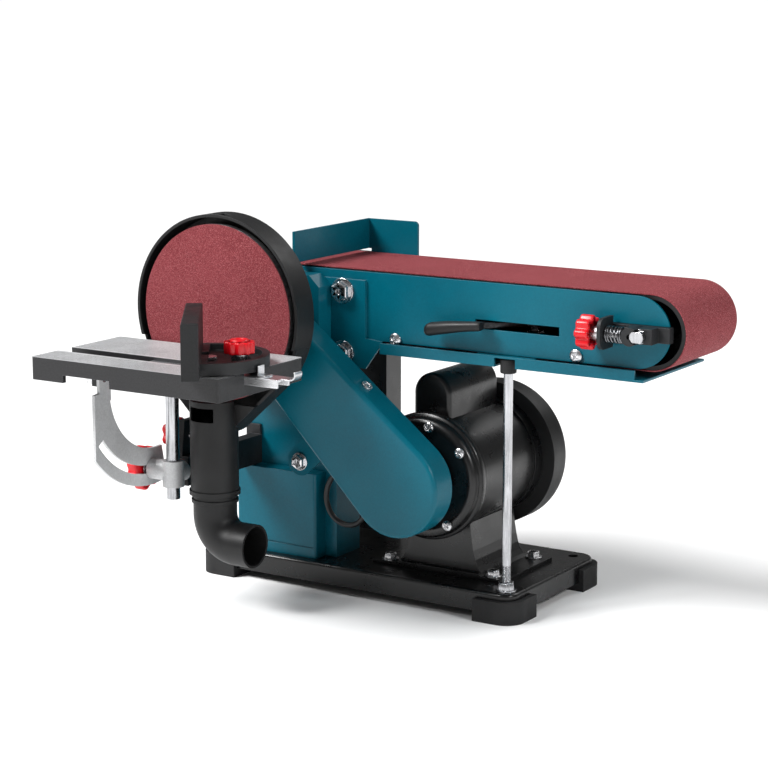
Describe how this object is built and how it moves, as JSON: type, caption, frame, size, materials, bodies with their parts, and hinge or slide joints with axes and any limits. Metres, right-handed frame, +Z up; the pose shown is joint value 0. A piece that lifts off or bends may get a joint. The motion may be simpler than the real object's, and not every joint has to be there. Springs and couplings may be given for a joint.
{
  "type": "belt disc sander",
  "caption": "Bench belt and disc sander: tilting belt bed above a motor, side disc with guard, tilting table with mitre gauge, dust outlet.",
  "frame": {"origin": "on the floor under the middle of the whole machine's footprint", "axes": "+X along the level belt bed towards its free end, -Y towards the sanding disc and its table, +Z up"},
  "size_m": [0.4932, 0.4016, 0.346],
  "materials": {
    "blue_paint": "satin",
    "black_paint": "satin",
    "black_plastic": "matte",
    "rocker_plastic": "gloss",
    "red_plastic": "satin",
    "foot_rubber": "matte",
    "belt_rubber": "matte",
    "lead_rubber": "satin",
    "abrasive_cloth": "matte",
    "bright_steel": "polished",
    "zinc_fasteners": "polished",
    "spring_steel": "satin",
    "grey_steel": "satin",
    "cast_table": "brushed",
    "cast_light": "cast",
    "dark_cast": "matte",
    "bar_aluminium": "brushed",
    "drum_aluminium": "machined"
  },
  "bodies": {
    "machine": {"base_pan": "black_paint", "corner_feet": "foot_rubber", "frame_column": "blue_paint", "bearing_housing": "blue_paint", "rear_column": "black_paint", "shaft_bearings": "bright_steel", "belt_cover": "blue_paint", "belt_cover_back": "blue_paint", "housing_screws": "zinc_fasteners", "disc_guard": "black_plastic", "dust_hopper": "black_plastic", "dust_elbow": "black_plastic", "switch_box": "blue_paint", "switch_case": "black_plastic", "motor_shell": "black_paint", "front_end_bell": "black_paint", "rear_end_bell": "black_paint", "fan_cover": "black_plastic", "motor_foot": "black_paint", "foot_bolts": "zinc_fasteners", "capacitor_box": "black_paint", "motor_lead": "lead_rubber", "support_rod": "bright_steel", "rod_cap": "foot_rubber", "drive_belt": "belt_rubber", "table_post": "bright_steel", "post_clamp": "cast_light", "table_arm": "dark_cast"},
    "drive": {"drive_shaft": "bright_steel", "drive_drum": "drum_aluminium", "disc_plate": "drum_aluminium", "disc_abrasive": "abrasive_cloth", "drive_pulley": "drum_aluminium"},
    "rotor": {"rotor": "bright_steel", "motor_pulley": "drum_aluminium", "cooling_fan": "black_plastic"},
    "belt_bed": {"bed_plate_front": "blue_paint", "bed_plate_back": "blue_paint", "bed_bolts": "zinc_fasteners", "bed_screws": "zinc_fasteners", "platen": "bright_steel", "tray": "blue_paint", "abrasive_belt": "abrasive_cloth", "work_fence": "blue_paint"},
    "tension_lever": {"tension_lever": "grey_steel"},
    "idler_carriage": {"idler_arms": "dark_cast", "idler_axle": "bright_steel", "tracking_spring": "spring_steel"},
    "idler": {"idler_drum": "black_plastic"},
    "tracking_knob": {"tracking_knob": "red_plastic"},
    "table": {"table": "cast_table", "quadrant": "cast_light", "table_pins": "zinc_fasteners"},
    "mitre_bar": {"mitre_bar": "bar_aluminium"},
    "mitre_head": {"mitre_head": "dark_cast"},
    "mitre_knob": {"mitre_knob": "red_plastic"},
    "quadrant_knob": {"quadrant_knob": "red_plastic"},
    "arm_knob": {"arm_knob": "red_plastic"},
    "switch_rocker": {"switch_rocker": "rocker_plastic"}
  },
  "joints": [
    {"name": "drive_spin", "type": "hinge", "parent": "machine", "child": "drive", "pos_m": [-0.14363, 0.09583, 0.2615], "axis": [0, 1, 0], "continuous": true},
    {"name": "rotor_spin", "type": "hinge", "parent": "machine", "child": "rotor", "pos_m": [0.00567, 0.09583, 0.117], "axis": [0, 1, 0], "continuous": true},
    {"name": "bed_tilt", "type": "hinge", "parent": "machine", "child": "belt_bed", "pos_m": [-0.14363, 0.10183, 0.2615], "axis": [0, -1, 0], "range_deg": [0, 90]},
    {"name": "lever_swing", "type": "hinge", "parent": "belt_bed", "child": "tension_lever", "pos_m": [0.09367, 0.08083, 0.2555], "axis": [0, 0, 1], "range_deg": [0, 80]},
    {"name": "idler_travel", "type": "slide", "parent": "belt_bed", "child": "idler_carriage", "axis": [1, 0, 0], "range_m": [-0.005, 0]},
    {"name": "idler_spin", "type": "hinge", "parent": "idler_carriage", "child": "idler", "pos_m": [0.21473, 0.10183, 0.2615], "axis": [0, 1, 0], "continuous": true},
    {"name": "tracking_turn", "type": "hinge", "parent": "idler_carriage", "child": "tracking_knob", "pos_m": [0.16567, 0.03183, 0.261], "axis": [1, 0, 0], "range_deg": [-180, 180]},
    {"name": "table_tilt", "type": "hinge", "parent": "machine", "child": "table", "pos_m": [-0.18353, -0.06517, 0.205], "axis": [1, 0, 0], "range_deg": [0, 45]},
    {"name": "mitre_slide", "type": "slide", "parent": "table", "child": "mitre_bar", "axis": [1, 0, 0], "range_m": [-0.07, 0.05]},
    {"name": "mitre_swing", "type": "hinge", "parent": "mitre_bar", "child": "mitre_head", "pos_m": [-0.09433, -0.13067, 0.236], "axis": [0, 0, 1], "range_deg": [-95, 25]},
    {"name": "mitre_lock", "type": "hinge", "parent": "mitre_bar", "child": "mitre_knob", "pos_m": [-0.06333, -0.13067, 0.25], "axis": [0, 0, 1], "range_deg": [-180, 180]},
    {"name": "tilt_lock", "type": "hinge", "parent": "machine", "child": "quadrant_knob", "pos_m": [-0.21433, -0.06517, 0.12], "axis": [1, 0, 0], "range_deg": [-180, 180]},
    {"name": "arm_lock", "type": "hinge", "parent": "machine", "child": "arm_knob", "pos_m": [-0.19933, -0.03917, 0.148], "axis": [1, 0, 0], "range_deg": [-180, 180]},
    {"name": "switch_press", "type": "hinge", "parent": "machine", "child": "switch_rocker", "pos_m": [-0.20053, 0.07983, 0.123], "axis": [0, -1, 0], "range_deg": [0, 16]}
  ],
  "couplings": [
    {"joint": "rotor_spin", "follows": "drive_spin", "ratio": 0.5},
    {"joint": "idler_spin", "follows": "drive_spin", "ratio": 1},
    {"joint": "idler_travel", "follows": "lever_swing", "m_per_rad": -0.00358}
  ]
}
